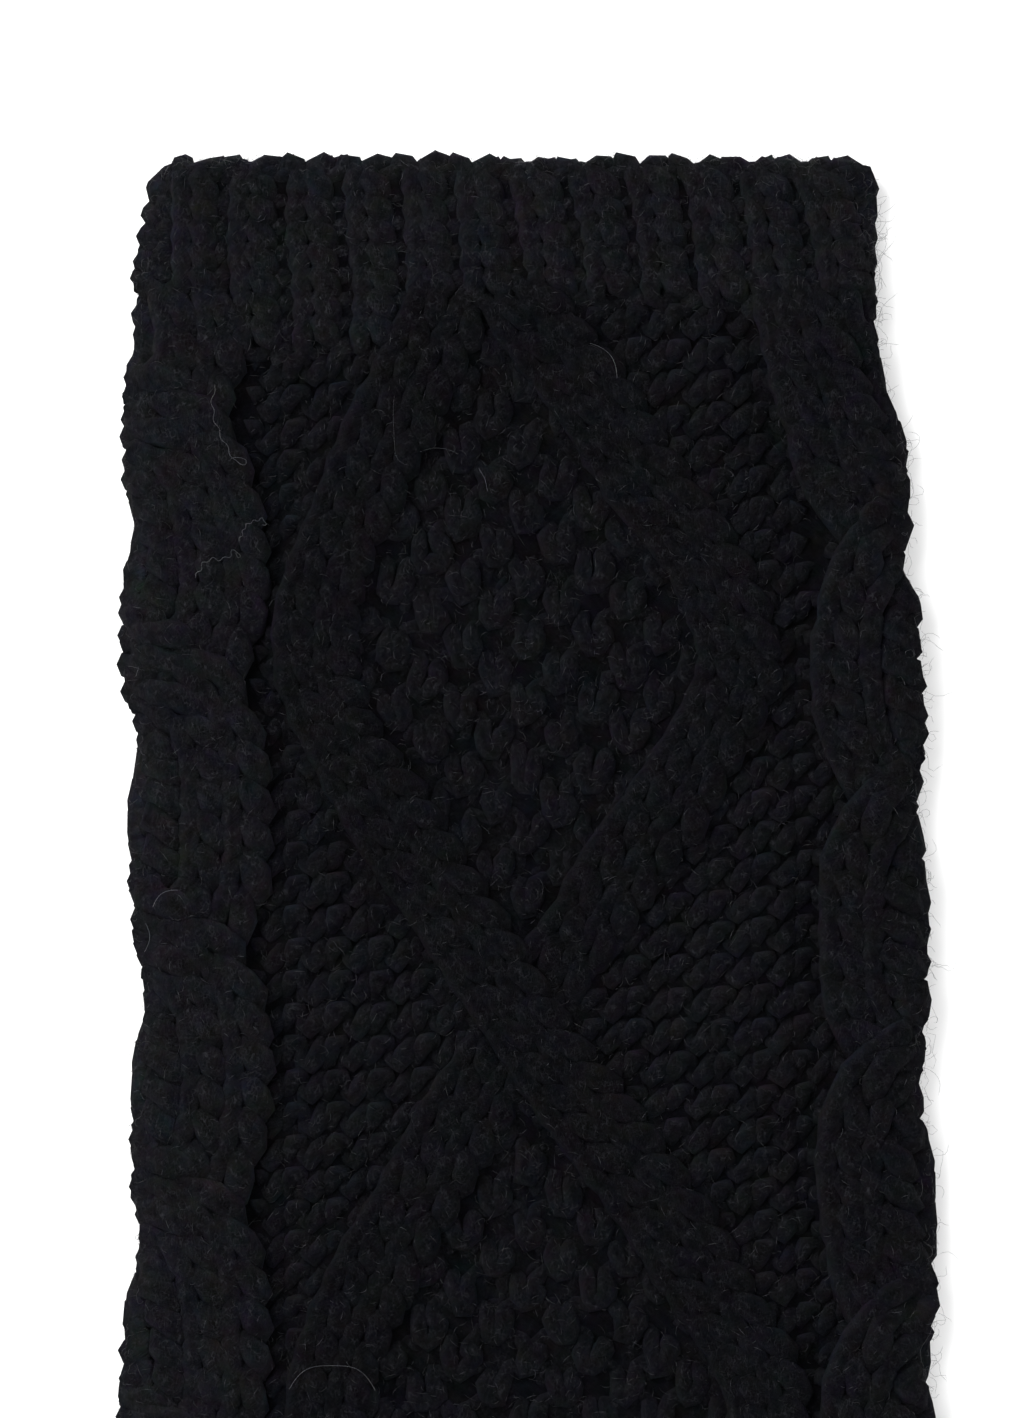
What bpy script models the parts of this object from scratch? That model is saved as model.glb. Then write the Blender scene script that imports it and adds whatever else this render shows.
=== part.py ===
"""A cable-knit arm warmer, lying flat.

The knitted tube lies on its back on the plane z = 0, face up, with its upper cuff towards +Y. It is one
flattened wall in three lengths, an upper cuff, a body and a lower cuff, which meet at narrow gaps. Each
length is a loft through sections across the tube. A section is a stadium, flat below and above and round at
both folds, and the wall's outer points are raised over it: into ribs on the cuffs, and on the body into a
rope cable along each fold, a diamond cable between them and the swell of the moss stitch that it encloses.
The inside and the underside stay plain. Lengths are in metres.
"""

from collections import namedtuple

import bpy
import numpy as np

# The tube and its wall
LENGTH = 0.338
CUFF_LENGTH = 0.019
SEAM_GAP = 0.0003
GROUND_HEIGHT = 0.0086          # top of the purl ground, over the floor
WALL = 0.0039                   # cloth of one layer, without what is raised on it
FOLD_RADIUS = GROUND_HEIGHT / 2
SLOT_POINT = 0.0016             # the slot inside narrows to nothing over this distance at each fold

# The rope cables: two strands of three stitches each
ROPE_WIDTH = 0.036
ROPE_PITCH = 0.036              # from one crossing to the next
ROPE_LIFT = 0.0018              # how far a strand stands over the ground
ROPE_CROSSING_LIFT = 0.0008     # added to the upper strand at a crossing, and taken from the lower one
STRAND_SWING = 0.0088           # how far a strand's middle moves to each side of the rope's
STRAND_HALF_WIDTH = 0.0094
SWING_SQUARENESS = 1.7          # the larger, the longer the strands run side by side between crossings
LEFT_CROSSING = 0.1327
RIGHT_CROSSING = 0.1150

# The diamond cable: two legs of two stitches each, and the moss stitch that they enclose
LEG_HALF_WIDTH = 0.0062
LEG_LIFT = 0.0016
LEG_CROSSING_LIFT = 0.0007
TURN_SHARPNESS = 0.965          # 1 would give a leg a sharp corner where the diamond is widest
CROSSING_POWER = 9              # an odd power keeps the lift of a crossing close to it
MOSS_LIFT = 0.0007
MOSS_EDGE = 0.004               # the swell rises over this distance from the middle of a leg
BODY_END_FADE = 0.007           # the cables sink to the height of the ribs over this distance from a cuff

# The ribs of the cuffs
RIBS_ON_FACE = 12
RIB_LIFT = 0.0013

# How finely each length is divided
BODY_RINGS = 100
CUFF_RINGS = 6
BODY_COLUMNS = 52
COLUMNS_PER_RIB = 4
COARSE_STEP = 4                 # the plain surfaces take one ring in four of the body's
UNDERSIDE_COLUMNS = 4
LINING_COLUMNS = 4              # on each flat of the inside

# The tube's edges, and the rope cables' inner edges, at stations along its length
Station = namedtuple("Station", "y left right left_rope right_rope")
STATIONS = (
    Station(y=-0.1690, left=-0.0482, right=0.0460, left_rope=-0.0380, right_rope=0.0330),
    Station(y=-0.1655, left=-0.0510, right=0.0482, left_rope=-0.0375, right_rope=0.0332),
    Station(y=-0.1500, left=-0.0524, right=0.0496, left_rope=-0.0365, right_rope=0.0345),
    Station(y=-0.1200, left=-0.0526, right=0.0513, left_rope=-0.0335, right_rope=0.0375),
    Station(y=-0.0600, left=-0.0533, right=0.0529, left_rope=-0.0327, right_rope=0.0395),
    Station(y=0.0000, left=-0.0537, right=0.0537, left_rope=-0.0327, right_rope=0.0397),
    Station(y=0.0250, left=-0.0523, right=0.0534, left_rope=-0.0327, right_rope=0.0397),
    Station(y=0.0530, left=-0.0519, right=0.0531, left_rope=-0.0327, right_rope=0.0397),
    Station(y=0.0800, left=-0.0527, right=0.0517, left_rope=-0.0327, right_rope=0.0397),
    Station(y=0.1080, left=-0.0536, right=0.0505, left_rope=-0.0330, right_rope=0.0390),
    Station(y=0.1300, left=-0.0533, right=0.0483, left_rope=-0.0338, right_rope=0.0355),
    Station(y=0.1500, left=-0.0533, right=0.0468, left_rope=-0.0380, right_rope=0.0295),
    Station(y=0.1655, left=-0.0512, right=0.0466, left_rope=-0.0385, right_rope=0.0290),
    Station(y=0.1690, left=-0.0482, right=0.0452, left_rope=-0.0390, right_rope=0.0285),
)

# The diamond cable's turns: its legs cross at whole phases and are widest apart at the halves
Turn = namedtuple("Turn", "y phase half_width middle")
TURNS = (
    Turn(y=-0.1570, phase=3.0, half_width=0.0290, middle=0.0000),
    Turn(y=-0.1040, phase=2.5, half_width=0.0298, middle=0.0006),
    Turn(y=-0.0545, phase=2.0, half_width=0.0302, middle=0.0010),
    Turn(y=-0.0040, phase=1.5, half_width=0.0305, middle=0.0025),
    Turn(y=0.0508, phase=1.0, half_width=0.0300, middle=-0.0015),
    Turn(y=0.1010, phase=0.5, half_width=0.0292, middle=-0.0004),
    Turn(y=0.1570, phase=0.0, half_width=0.0290, middle=-0.0069),
)

YARN_COLOUR = (0.0075, 0.0075, 0.0090, 1.0)
YARN_ROUGHNESS = 0.95


def read_table(rows, column, y):
    """Return a table's column at the places y, straight between its rows."""
    return np.interp(y, [row.y for row in rows], [getattr(row, column) for row in rows])


def smooth_step(value):
    """Rise smoothly from 0 to 1 while value goes from 0 to 1."""
    held = np.clip(value, 0.0, 1.0)
    return held * held * (3.0 - 2.0 * held)


def crown(offset, half_width):
    """Return the rounded height of a strand, 1 along its middle and 0 from half_width outwards."""
    return np.clip(1.0 - (offset / half_width) ** 2, 0.0, 1.0) ** 0.6


def rope_relief(across, y, crossing):
    """Return a rope cable's height. across runs from its middle towards the tube's middle.

    The two strands swing in opposite waves, a squared-off sine, and the one that runs inwards and down is
    the upper one.
    """
    turn = np.pi * (y - crossing) / ROPE_PITCH
    swing = STRAND_SWING * np.tanh(SWING_SQUARENESS * np.sin(turn)) / np.tanh(SWING_SQUARENESS)
    lift = ROPE_CROSSING_LIFT * np.cos(turn)
    first = (ROPE_LIFT - lift) * crown(across - swing, STRAND_HALF_WIDTH)
    second = (ROPE_LIFT + lift) * crown(across + swing, STRAND_HALF_WIDTH)
    return np.maximum(first, second)


def diamond_relief(x, y):
    """Return the height of the diamond cable's two legs and of the moss stitch between them.

    The legs are mirror images of one wave, an arc sine of a sine: straight, with rounded turns.
    """
    phase = np.pi * read_table(TURNS, "phase", y)
    wave = np.arcsin(TURN_SHARPNESS * np.sin(phase)) / np.arcsin(TURN_SHARPNESS)
    reach = read_table(TURNS, "half_width", y) * wave
    lift = LEG_CROSSING_LIFT * np.cos(phase) ** CROSSING_POWER
    across = x - read_table(TURNS, "middle", y)
    first = (LEG_LIFT - lift) * crown(across + reach, LEG_HALF_WIDTH)
    second = (LEG_LIFT + lift) * crown(across - reach, LEG_HALF_WIDTH)
    moss = MOSS_LIFT * smooth_step((np.abs(reach) - np.abs(across)) / MOSS_EDGE)
    return np.maximum(np.maximum(first, second), moss)


def body_relief(section, y):
    """Return the height that the body's cables stand over its section, sinking to the ribs at its ends."""
    fold = np.pi * FOLD_RADIUS
    left_edge = fold + read_table(STATIONS, "left_rope", y) - section.left - FOLD_RADIUS
    right_edge = fold + section.right - read_table(STATIONS, "right_rope", y) - FOLD_RADIUS
    left_across = section.from_left - (left_edge - ROPE_WIDTH / 2)
    right_across = section.from_right - (right_edge - ROPE_WIDTH / 2)
    ropes = np.maximum(
        rope_relief(left_across, y, LEFT_CROSSING),
        rope_relief(right_across, y, RIGHT_CROSSING),
    )
    cables = np.maximum(ropes, diamond_relief(section.x, y))
    from_cuff = LENGTH / 2 - CUFF_LENGTH - np.abs(y)
    grown = smooth_step(from_cuff / BODY_END_FADE)
    return cables * grown + RIB_LIFT / 2 * (1.0 - grown)


def cuff_relief(section, y):
    """Return the height that a cuff's ribs stand over its section, a cosine wave across it."""
    share = section.from_left / (section.from_left + section.from_right)
    return RIB_LIFT * (0.5 - 0.5 * np.cos(2.0 * np.pi * RIBS_ON_FACE * share))


Section = namedtuple("Section", "left right from_left from_right x z normal_x normal_z")


def face_section(y, shares):
    """Return the tube's face at the places y, as arrays of a row for each y and a column for each share.

    The face is the stadium without its underside: from the foot of the left fold over the top to the foot
    of the right fold. A share is the part of that way from the left foot.
    """
    left = read_table(STATIONS, "left", y)[:, None]
    right = read_table(STATIONS, "right", y)[:, None]
    flat = right - left - 2.0 * FOLD_RADIUS
    way = flat + 2.0 * np.pi * FOLD_RADIUS
    from_left = way * shares[None, :]
    from_right = way - from_left
    left_angle = np.clip(from_left / FOLD_RADIUS, 0.0, np.pi)
    right_angle = np.clip(from_right / FOLD_RADIUS, 0.0, np.pi)
    normal_x = np.sin(right_angle) - np.sin(left_angle)
    normal_z = -np.maximum(np.cos(left_angle), np.cos(right_angle))
    along_flat = np.clip(from_left - np.pi * FOLD_RADIUS, 0.0, flat)
    x = left + FOLD_RADIUS + along_flat + FOLD_RADIUS * normal_x
    z = FOLD_RADIUS + FOLD_RADIUS * normal_z
    return Section(left, right, from_left, from_right, x, z, normal_x, normal_z)


def raised_face(y, columns, relief):
    """Return the points of the face with its relief, as an array of rings, columns and coordinates.

    The relief fades out round the folds, from full height at their outermost line to none underneath.
    """
    section = face_section(y, np.linspace(0.0, 1.0, columns + 1))
    rows = np.broadcast_to(y[:, None], section.x.shape)
    height = relief(section, rows) * smooth_step(1.0 + section.normal_z)
    x = section.x + height * section.normal_x
    z = section.z + height * section.normal_z
    return np.stack((x, rows, z), axis=2)


def flat_strip(y, left, right, height, columns):
    """Return a level strip of points between two edges, its columns running from left to right."""
    shares = np.linspace(0.0, 1.0, columns + 1)
    x = left[:, None] + (right - left)[:, None] * shares
    rows = np.broadcast_to(y[:, None], x.shape)
    return np.stack((x, rows, np.full(x.shape, height)), axis=2)


def underside(y):
    """Return the points of the flat underside between the folds' feet, running from right to left."""
    left = read_table(STATIONS, "left", y) + FOLD_RADIUS
    right = read_table(STATIONS, "right", y) - FOLD_RADIUS
    return flat_strip(y, left, right, 0.0, UNDERSIDE_COLUMNS)[:, -2:0:-1]


def inside(y):
    """Return the points round the plain inside, a narrow slot with a pointed end in each fold."""
    left = read_table(STATIONS, "left", y) + WALL
    right = read_table(STATIONS, "right", y) - WALL
    upper = flat_strip(y, left + SLOT_POINT, right - SLOT_POINT, GROUND_HEIGHT - WALL, LINING_COLUMNS)
    lower = flat_strip(y, left + SLOT_POINT, right - SLOT_POINT, WALL, LINING_COLUMNS)
    right_end = np.stack((right, y, np.full(y.shape, FOLD_RADIUS)), axis=1)[:, None]
    left_end = np.stack((left, y, np.full(y.shape, FOLD_RADIUS)), axis=1)[:, None]
    return np.concatenate((upper, right_end, lower[:, ::-1], left_end), axis=1)


class Mesh:
    """Points and faces of one piece while it is being lofted."""

    def __init__(self):
        self.points = []
        self.faces = []

    def add_columns(self, rings):
        """Add the points of an array of rings and return one list of point numbers for each column."""
        ring_count, column_count, _ = rings.shape
        first = len(self.points)
        self.points.extend(rings.reshape(-1, 3).tolist())
        numbers = first + np.arange(ring_count * column_count).reshape(ring_count, column_count)
        return numbers.T.tolist()

    def join(self, near, far):
        """Fill the strip between two lines of points, with quads where they have equally many points.

        Elsewhere triangles step along whichever line is behind, in shares of its length.
        """
        if len(near) == len(far):
            for a, b, c, d in zip(near, far, far[1:], near[1:]):
                self.faces.append((a, b, c, d))
            return
        i = 0
        j = 0
        while i < len(near) - 1 or j < len(far) - 1:
            near_share = (i + 1) / (len(near) - 1)
            far_share = (j + 1) / (len(far) - 1)
            if near_share <= far_share:
                self.faces.append((near[i], far[j], near[i + 1]))
                i += 1
            else:
                self.faces.append((near[i], far[j], far[j + 1]))
                j += 1

    def join_round(self, columns):
        """Fill the strips between neighbouring columns, and between the last and the first."""
        for near, far in zip(columns, columns[1:] + columns[:1]):
            self.join(near, far)


def close_end(mesh, outer, inner, at):
    """Fill one end of the wall, between the outer ring and the inner ring at it.

    Each stretch of the outer ring is joined to the stretch of the inner ring that lies beside it.
    """
    for outer_columns, inner_columns in zip(outer, inner):
        near = [column[at] for column in outer_columns]
        far = [column[at] for column in inner_columns]
        if at == 0:
            mesh.join(near, far)
        else:
            mesh.join(far, near)


def tube_length(start, end, rings, step, columns, relief):
    """Return the lofted mesh of one length of the tube, from y = start up to y = end.

    The face has all the rings, and the underside and the inside take one ring in step.
    """
    y = np.linspace(start, end, rings + 1)
    coarse_y = y[::step]
    mesh = Mesh()
    face = mesh.add_columns(raised_face(y, columns, relief))
    under = mesh.add_columns(underside(coarse_y))
    lining = mesh.add_columns(inside(coarse_y))
    mesh.join_round(face + under)
    mesh.join_round(lining[::-1])

    upper = lining[: LINING_COLUMNS + 1]
    lower = lining[LINING_COLUMNS + 2 : 2 * LINING_COLUMNS + 3]
    face_on_inside = [lining[-1]] + upper + [lining[LINING_COLUMNS + 1]]
    under_on_inside = [lining[LINING_COLUMNS + 1]] + lower + [lining[-1]]
    outer = (face, [face[-1]] + under + [face[0]])
    inner = (face_on_inside, under_on_inside)
    close_end(mesh, outer, inner, 0)
    close_end(mesh, outer, inner, -1)
    return mesh


def yarn_material():
    """Return the material of the black yarn."""
    material = bpy.data.materials.new("yarn")
    material.use_nodes = True
    shader = material.node_tree.nodes["Principled BSDF"]
    shader.inputs["Base Color"].default_value = YARN_COLOUR
    shader.inputs["Roughness"].default_value = YARN_ROUGHNESS
    shader.inputs["Metallic"].default_value = 0.0
    return material


def add_piece(name, mesh, material, collection):
    """Make a lofted mesh an object of the collection, shaded smooth, with its faces pointing outwards."""
    data = bpy.data.meshes.new(name)
    data.from_pydata(mesh.points, [], mesh.faces)
    data.update()
    data.shade_smooth()
    data.materials.append(material)
    collection.objects.link(bpy.data.objects.new(name, data))


def main():
    """Model the arm warmer's three lengths."""
    for item in list(bpy.data.objects):
        bpy.data.objects.remove(item, do_unlink=True)
    collection = bpy.data.collections.new("arm_warmer")
    bpy.context.scene.collection.children.link(collection)
    material = yarn_material()

    end = LENGTH / 2
    seam = end - CUFF_LENGTH
    cuff_columns = RIBS_ON_FACE * COLUMNS_PER_RIB
    body_end = seam - SEAM_GAP / 2
    cuff_start = seam + SEAM_GAP / 2
    upper = tube_length(cuff_start, end, CUFF_RINGS, 1, cuff_columns, cuff_relief)
    body = tube_length(-body_end, body_end, BODY_RINGS, COARSE_STEP, BODY_COLUMNS, body_relief)
    lower = tube_length(-end, -cuff_start, CUFF_RINGS, 1, cuff_columns, cuff_relief)
    add_piece("upper_cuff", upper, material, collection)
    add_piece("body", body, material, collection)
    add_piece("lower_cuff", lower, material, collection)


main()
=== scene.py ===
"""A black cable-knit arm warmer, lying flat: its knitting stitch by stitch, its cloth, its fuzz and a studio.

The knitting is made of real loops. Every stretch of yarn is a tube carried along a path, and a path is
worked out in stitch widths across and rows along, then laid on the flattened tube's middle surface. The
knitting runs from the upper cuff downwards, so its loops hang with their heads towards -Y. Lengths are in
metres, in the frame's own place.
"""

import logging
import math
from collections.abc import Callable
from dataclasses import dataclass, field
from enum import Enum

import bpy
import numpy as np
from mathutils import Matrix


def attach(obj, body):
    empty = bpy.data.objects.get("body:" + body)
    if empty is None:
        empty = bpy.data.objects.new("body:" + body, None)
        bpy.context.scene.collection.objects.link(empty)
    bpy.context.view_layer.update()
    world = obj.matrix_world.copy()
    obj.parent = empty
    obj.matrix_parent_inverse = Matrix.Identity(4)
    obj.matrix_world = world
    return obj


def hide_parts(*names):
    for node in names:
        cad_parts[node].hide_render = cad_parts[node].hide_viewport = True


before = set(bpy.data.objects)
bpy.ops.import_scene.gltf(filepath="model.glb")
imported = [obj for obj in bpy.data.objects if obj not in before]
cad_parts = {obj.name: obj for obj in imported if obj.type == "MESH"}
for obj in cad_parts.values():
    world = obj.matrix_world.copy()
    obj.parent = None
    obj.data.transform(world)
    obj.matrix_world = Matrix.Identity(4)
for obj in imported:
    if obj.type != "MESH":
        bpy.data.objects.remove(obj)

Array = np.ndarray
Chance = np.random.Generator
Material = bpy.types.Material
Piece = bpy.types.Object
Socket = bpy.types.NodeSocket

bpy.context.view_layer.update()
LOG = logging.getLogger("arm_warmer")
ROOT = "root"
FULL_TURN = 2.0 * math.pi
FLOOR_CLEARANCE = 0.00002
LEAST_COVER = 1e-6
LEAST_LENGTH = 1e-9
WANDER_WAVES = 5
WANDER_LENGTHS = (0.6, 1.6)
NO_TRIANGLES = np.zeros((0, 3), dtype=int)


class Side(Enum):
    """Which fold of the tube a rope cable wraps."""

    LEFT = 1
    RIGHT = -1


class Stitch(Enum):
    """A stitch shows its legs in front when it is knit, and its head and feet when it is purl."""

    KNIT = 1.0
    PURL = -1.0


@dataclass(frozen=True)
class Station:
    """The tube's edges, and the rope cables' inner edges, at one place along its length."""

    y: float
    left: float
    right: float
    left_rope: float
    right_rope: float


@dataclass(frozen=True)
class Turn:
    """One turn of the diamond cable: its legs cross at whole phases and are widest apart at the halves."""

    y: float
    phase: float
    half_width: float
    middle: float


# Columns: y, left, right, left_rope, right_rope
STATIONS = (
    Station(-0.1690, -0.0482, 0.0460, -0.0392, 0.0325),
    Station(-0.1655, -0.0510, 0.0482, -0.0390, 0.0327),
    Station(-0.1500, -0.0524, 0.0496, -0.0380, 0.0337),
    Station(-0.1200, -0.0526, 0.0513, -0.0354, 0.0366),
    Station(-0.0600, -0.0533, 0.0529, -0.0348, 0.0386),
    Station(0.0000, -0.0537, 0.0537, -0.0348, 0.0387),
    Station(0.0250, -0.0523, 0.0529, -0.0348, 0.0387),
    Station(0.0530, -0.0519, 0.0525, -0.0348, 0.0387),
    Station(0.0800, -0.0527, 0.0523, -0.0348, 0.0387),
    Station(0.1080, -0.0535, 0.0512, -0.0350, 0.0381),
    Station(0.1300, -0.0533, 0.0489, -0.0364, 0.0348),
    Station(0.1500, -0.0537, 0.0475, -0.0390, 0.0293),
    Station(0.1655, -0.0512, 0.0466, -0.0385, 0.0290),
    Station(0.1690, -0.0482, 0.0452, -0.0390, 0.0285),
)

# Columns: y, phase, half_width, middle
TURNS = (
    Turn(-0.1570, 3.0, 0.0290, 0.0000),
    Turn(-0.1040, 2.5, 0.0298, 0.0006),
    Turn(-0.0545, 2.0, 0.0302, 0.0010),
    Turn(-0.0040, 1.5, 0.0305, 0.0025),
    Turn(0.0508, 1.0, 0.0300, -0.0015),
    Turn(0.1010, 0.5, 0.0292, -0.0004),
    Turn(0.1570, 0.0, 0.0290, -0.0069),
)

# Where the outline of each fold is deepest and fullest by turns
LEFT_NOTCHES = (-0.1640, -0.1245, -0.0900, -0.0535, -0.0180, 0.0187, 0.0530, 0.0887, 0.1183, 0.1437)
RIGHT_NOTCHES = (-0.1800, -0.1440, -0.1080, -0.0710, -0.0346, 0.0014, 0.0400, 0.0784, 0.1130, 0.1395)


def read_table(rows: tuple, column: str, y: Array) -> Array:
    """Return one column of a table, whose rows are in order of y, read at y straight between its rows."""
    return np.interp(y, [row.y for row in rows], [getattr(row, column) for row in rows])


def smooth_step(value: Array) -> Array:
    """Rise smoothly from 0 to 1 while value goes from 0 to 1, as 3v^2 - 2v^3."""
    held = np.clip(value, 0.0, 1.0)
    return held * held * (3.0 - 2.0 * held)


def wander(x: Array, y: Array, seed: int, size: float) -> Array:
    """Return a smooth uneven field between about -1 and 1: sine waves in seeded directions, averaged.

    Args:
        x: places across.
        y: places along.
        seed: the choice of directions, lengths and phases.
        size: the typical length of a wave.

    Returns:
        The field at those places.
    """
    draw = np.random.default_rng(seed)
    total = np.zeros(np.broadcast(x, y).shape)
    for _ in range(WANDER_WAVES):
        angle, phase = draw.uniform(0.0, FULL_TURN, 2)
        rate = FULL_TURN / (size * draw.uniform(*WANDER_LENGTHS))
        total = total + np.sin(rate * (x * math.cos(angle) + y * math.sin(angle)) + phase)
    return total / (WANDER_WAVES / 2.0)


def unit(vectors: Array, least: float = 0.0) -> Array:
    """Return the vectors made one long: each is divided by its length plus the least one."""
    return vectors / (np.linalg.norm(vectors, axis=-1, keepdims=True) + least)


def circles(way: Array, up: Array, angle: Array, least: float = 0.0) -> Array:
    """Return a circle of outward vectors about each point of some paths: cos a * side + sin a * above.

    Side is the way crossed with up, and above is side crossed with the way.

    Args:
        way: the way at each point, one long: paths, points and coordinates.
        up: the direction that counts as up, of the same shape or one for all.
        angle: the angles round a circle.
        least: what is added to the length of a side before it is made one long.

    Returns:
        The vectors: paths, points, angles and coordinates.
    """
    side = unit(np.cross(way, up), least)
    above = np.cross(side, way)
    return np.cos(angle)[:, None] * side[:, :, None] + np.sin(angle)[:, None] * above[:, :, None]


def walls(number: Array, closed: bool = False) -> Array:
    """Return the faces between neighbouring rings of some tubes.

    Args:
        number: the numbers of the points: tubes, rings and points round a ring.
        closed: whether each tube's last ring meets its first.

    Returns:
        One row of four point numbers for each face.
    """
    near = number if closed else number[:, :-1]
    far = np.roll(number, -1, axis=1) if closed else number[:, 1:]
    return np.stack((near, far, np.roll(far, -1, axis=2), np.roll(near, -1, axis=2)), axis=-1).reshape(-1, 4)


@dataclass
class Tube:
    """The flattened tube's middle surface, on which all the knitting lies.

    A place on it is an arc, the distance round the section from the left fold's outermost line over the
    face, and y. The section is a stadium: half circles at the folds and two level flats.
    """

    length: float = 0.338
    cuff: float = 0.019
    fold: float = 0.0022
    middle_height: float = 0.0043
    left_depth: float = 0.0013
    right_depth: float = 0.0009

    def edges(self, y: Array) -> tuple[Array, Array]:
        """Return x of the middle surface's outermost lines at y, left and right."""
        left = read_table(STATIONS, "left", y) + self.left_depth
        return left, read_table(STATIONS, "right", y) - self.right_depth

    def flat(self, y: Array) -> Array:
        """Return the width of the flat between the folds at y."""
        left, right = self.edges(y)
        return right - left - 2.0 * self.fold

    def round(self, y: Array) -> Array:
        """Return the length round the section at y."""
        return 2.0 * self.flat(y) + FULL_TURN * self.fold

    def arc_of(self, x: Array, y: Array) -> Array:
        """Return the arc of a place on the face's flat from its x and y."""
        return x - self.edges(y)[0] - self.fold + self.fold * math.pi / 2.0

    def place(self, arc: Array, y: Array, out: Array) -> tuple[Array, Array]:
        """Return the points at a distance out from the middle surface, and the outward normals there.

        The arc is wrapped round the section. On a fold the angle grows with the arc, and on a flat x does.

        Args:
            arc: distance round the section.
            y: place along the tube.
            out: distance outwards.

        Returns:
            Points and normals, with the coordinates last.
        """
        arc, y, out = np.broadcast_arrays(arc, y, out)
        left, right = self.edges(y)
        flat = right - left - 2.0 * self.fold
        bend = math.pi * self.fold
        around = np.mod(arc + bend / 2.0, 2.0 * (flat + bend))
        left_angle = np.clip(around, 0.0, bend) / self.fold
        over = np.clip(around - bend, 0.0, flat)
        right_angle = np.clip(around - bend - flat, 0.0, bend) / self.fold
        back = np.clip(around - 2.0 * bend - flat, 0.0, flat)
        normal_x = np.sin(right_angle) - np.sin(left_angle)
        normal_z = -np.cos(left_angle) + np.cos(right_angle) - 1.0
        x = left + self.fold + over - back + normal_x * (self.fold + out)
        z = self.middle_height + normal_z * (self.fold + out)
        points = np.stack((x, y, z), axis=-1)
        normals = np.stack((normal_x, np.zeros_like(x), normal_z), axis=-1)
        return points, normals

    def exposure(self, arc: Array, y: Array) -> Array:
        """Return 1 on the face and the folds' outer half, falling to 0 on the underside, which rests flat."""
        return smooth_step(1.0 + self.place(arc, y, 0.0)[1][..., 2])


@dataclass
class YarnMesh:
    """Tubes of yarn that are collected and made one mesh.

    Each point keeps an attribute, yarn: the cosine and sine of its angle round the yarn, and its distance
    along it, from which the material works out the twist.
    """

    name: str
    sides: int = 8
    points: list = field(default_factory=list)
    outward: list = field(default_factory=list)
    ways: list = field(default_factory=list)
    quads: list = field(default_factory=list)
    rounds: list = field(default_factory=list)
    count: int = 0

    def sweep(self, path: Array, up: Array, radius: Array, closed: bool = False) -> None:
        """Carry a circle along one or more paths and keep the tubes: each point is path + radius * circle.

        Args:
            path: paths, points and coordinates.
            up: the direction that counts as up at each point, of the same shape.
            radius: the yarn's radius at each point, or one for all.
            closed: whether each path's end meets its start.
        """
        way = np.roll(path, -1, axis=1) - np.roll(path, 1, axis=1) if closed else np.gradient(path, axis=1)
        way = unit(way)
        angle = FULL_TURN * np.arange(self.sides) / self.sides
        ring = circles(way, up, angle)
        points = path[:, :, None] + np.broadcast_to(radius, path.shape[:2])[..., None, None] * ring
        run = np.cumsum(np.linalg.norm(np.diff(path, axis=1, prepend=path[:, :1]), axis=2), axis=1)
        number = self.count + np.arange(points.size // 3).reshape(points.shape[:3])
        self.count += number.size
        self.points.append(points.reshape(-1, 3))
        self.outward.append(ring.reshape(-1, 3))
        self.ways.append(np.broadcast_to(way[:, :, None], points.shape).reshape(-1, 3))
        place = np.broadcast_arrays(np.cos(angle), np.sin(angle), run[:, :, None])
        self.rounds.append(np.stack(place, axis=-1).reshape(-1, 3))
        self.quads.append(walls(number, closed))
        if not closed:
            self.close_ends(number)

    def close_ends(self, number: Array) -> None:
        """Fill the first and last ring of each tube with a ladder of quads across it.

        Args:
            number: the numbers of the points: tubes, rings and points round a ring.
        """
        low = np.arange(self.sides // 2 - 1)
        rungs = np.stack((low, low + 1, self.sides - 2 - low, self.sides - 1 - low), axis=1)
        self.quads.append(number[:, 0][:, rungs].reshape(-1, 4))
        self.quads.append(number[:, -1][:, rungs[:, ::-1]].reshape(-1, 4))

    def dress(self, material: Material) -> Piece:
        """Make the collected tubes one object, no lower than just above the floor.

        Args:
            material: its finish.

        Returns:
            The new object.
        """
        points = np.concatenate(self.points)
        points[:, 2] = np.maximum(points[:, 2], FLOOR_CLEARANCE)
        piece = mesh_object(self.name, points, np.concatenate(self.quads), material)
        keep_rounds(piece, np.concatenate(self.rounds))
        return piece


def gather(meshes: list[YarnMesh], kind: str) -> Array:
    """Return the points, outward vectors or ways of all the meshes, joined."""
    return np.concatenate([part for mesh in meshes for part in getattr(mesh, kind)])


def mesh_object(name: str, points: Array, quads: Array, material: Material,
                triangles: Array = NO_TRIANGLES) -> Piece:
    """Make an object from arrays of points and faces, shaded smooth, and link it to the scene.

    Args:
        name: the object's name.
        points: one row of coordinates for each point.
        quads: one row of four point numbers for each four-cornered face.
        material: its finish.
        triangles: one row of three point numbers for each triangle, if there are any.

    Returns:
        The new object.
    """
    corners = np.concatenate((quads.ravel(), triangles.ravel()))
    four = np.arange(0, quads.size, 4)
    three = quads.size + np.arange(0, triangles.size, 3)
    data = bpy.data.meshes.new(name)
    data.vertices.add(len(points))
    data.vertices.foreach_set("co", points.astype(np.float32).ravel())
    data.loops.add(len(corners))
    data.loops.foreach_set("vertex_index", corners.astype(np.int32))
    data.polygons.add(len(four) + len(three))
    data.polygons.foreach_set("loop_start", np.concatenate((four, three)).astype(np.int32))
    data.update(calc_edges=True)
    data.shade_smooth()
    data.materials.append(material)
    piece = bpy.data.objects.new(name, data)
    bpy.context.scene.collection.objects.link(piece)
    return piece


def keep_rounds(piece: Piece, rounds: Array) -> None:
    """Keep each point's place on its yarn in the piece's attribute, yarn."""
    layer = piece.data.attributes.new("yarn", "FLOAT_VECTOR", "POINT")
    layer.data.foreach_set("vector", rounds.astype(np.float32).ravel())


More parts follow.
